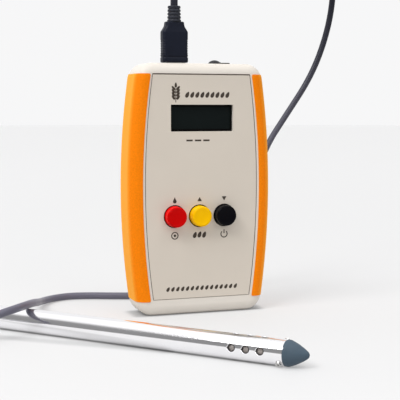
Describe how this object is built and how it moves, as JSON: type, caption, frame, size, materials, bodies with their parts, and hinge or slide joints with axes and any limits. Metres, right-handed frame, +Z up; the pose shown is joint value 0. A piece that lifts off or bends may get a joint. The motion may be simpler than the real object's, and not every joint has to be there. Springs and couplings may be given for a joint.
{
  "type": "grain moisture meter",
  "caption": "Hand-held moisture meter with display, push buttons and rocker switch, wired by a plug-in cord to a slim stainless grain probe.",
  "frame": {"origin": "centre of the flat bottom end of the case", "axes": "+Z up along the case, -Y out of the display face, +X to the right of someone reading the display"},
  "size_m": [0.4473, 0.2984, 0.2621],
  "materials": {
    "case_plastic": "fine textured moulding",
    "grip_rubber": "soft orange elastomer, fine texture",
    "label_film": "matt overlay film",
    "black_metal": "black lacquer",
    "display_glass": "dark reflective display",
    "pcb": "green solder mask",
    "black_plastic": "satin",
    "red_plastic": "glossy moulding",
    "yellow_plastic": "glossy moulding",
    "black_gloss": "glossy moulding",
    "plated_steel": "nickel plated",
    "stainless": "polished stainless tube",
    "screw_steel": "turned steel",
    "contact_brass": "plated contacts",
    "slate_plastic": "satin slate grey",
    "ic_black": "moulded package",
    "battery_can": "printed steel can, plain",
    "foam": "closed-cell foam",
    "oring_rubber": "smooth",
    "mesh_steel": "woven mesh",
    "cord_jacket": "satin PVC jacket",
    "plug_plastic": "satin overmould",
    "wire_red": "wire jacket",
    "wire_black": "wire jacket"
  },
  "bodies": {
    "case": {"front_shell": "case_plastic", "rear_shell": "case_plastic", "grip_left": "grip_rubber", "grip_right": "grip_rubber", "front_label": "label_film", "lcd_bezel": "black_metal", "lcd_glass": "display_glass", "lcd_board": "pcb", "lcd_header": "black_plastic", "main_board": "pcb", "switch_bodies": "black_plastic", "mcu_chip": "ic_black", "voltage_regulator": "ic_black", "capacitors": "black_plastic", "crystal": "plated_steel", "usb_socket_shell": "plated_steel", "usb_socket_tongue": "black_plastic", "rocker_frame": "black_plastic", "rocker_terminals": "contact_brass", "switch_lead": "wire_black", "battery": "battery_can", "battery_snap": "black_plastic", "battery_pad": "foam", "battery_lead_red": "wire_red", "battery_lead_black": "wire_black", "case_screws": "screw_steel", "board_screws": "screw_steel", "probe_tube": "stainless", "probe_nose": "slate_plastic", "nose_screws": "screw_steel", "nose_oring": "oring_rubber", "filter_sleeve": "mesh_steel", "sensor_board": "pcb", "sensor_chip": "ic_black", "probe_end_cap": "black_plastic", "end_cap_screw": "screw_steel", "probe_strain_relief": "plug_plastic", "probe_inner_cable": "cord_jacket", "cord": "cord_jacket", "plug_overmold": "plug_plastic", "plug_strain_relief": "plug_plastic", "plug_shell": "plated_steel", "plug_tongue": "black_plastic"},
    "red_key": {"red_button": "red_plastic", "red_switch_stem": "black_plastic"},
    "yellow_key": {"yellow_button": "yellow_plastic", "yellow_switch_stem": "black_plastic"},
    "black_key": {"black_button": "black_gloss", "black_switch_stem": "black_plastic"},
    "rocker": {"rocker_paddle": "black_plastic"},
    "door": {"battery_door": "case_plastic"}
  },
  "joints": [
    {"name": "red_key_press", "type": "slide", "parent": "case", "child": "red_key", "axis": [0, 1, 0], "range_m": [0, 0.00035], "stiffness_N_per_m": 2000, "springref_m": -0.0006},
    {"name": "yellow_key_press", "type": "slide", "parent": "case", "child": "yellow_key", "axis": [0, 1, 0], "range_m": [0, 0.00035], "stiffness_N_per_m": 2000, "springref_m": -0.0006},
    {"name": "black_key_press", "type": "slide", "parent": "case", "child": "black_key", "axis": [0, 1, 0], "range_m": [0, 0.00035], "stiffness_N_per_m": 2000, "springref_m": -0.0006},
    {"name": "rocker_tilt", "type": "hinge", "parent": "case", "child": "rocker", "pos_m": [0.0142, 0, 0.1464], "axis": [1, 0, 0], "range_deg": [-24, 0]},
    {"name": "battery_door_hinge", "type": "hinge", "parent": "case", "child": "door", "pos_m": [0, 0.0118, 0.0116], "axis": [1, 0, 0], "range_deg": [-50, 0]}
  ]
}
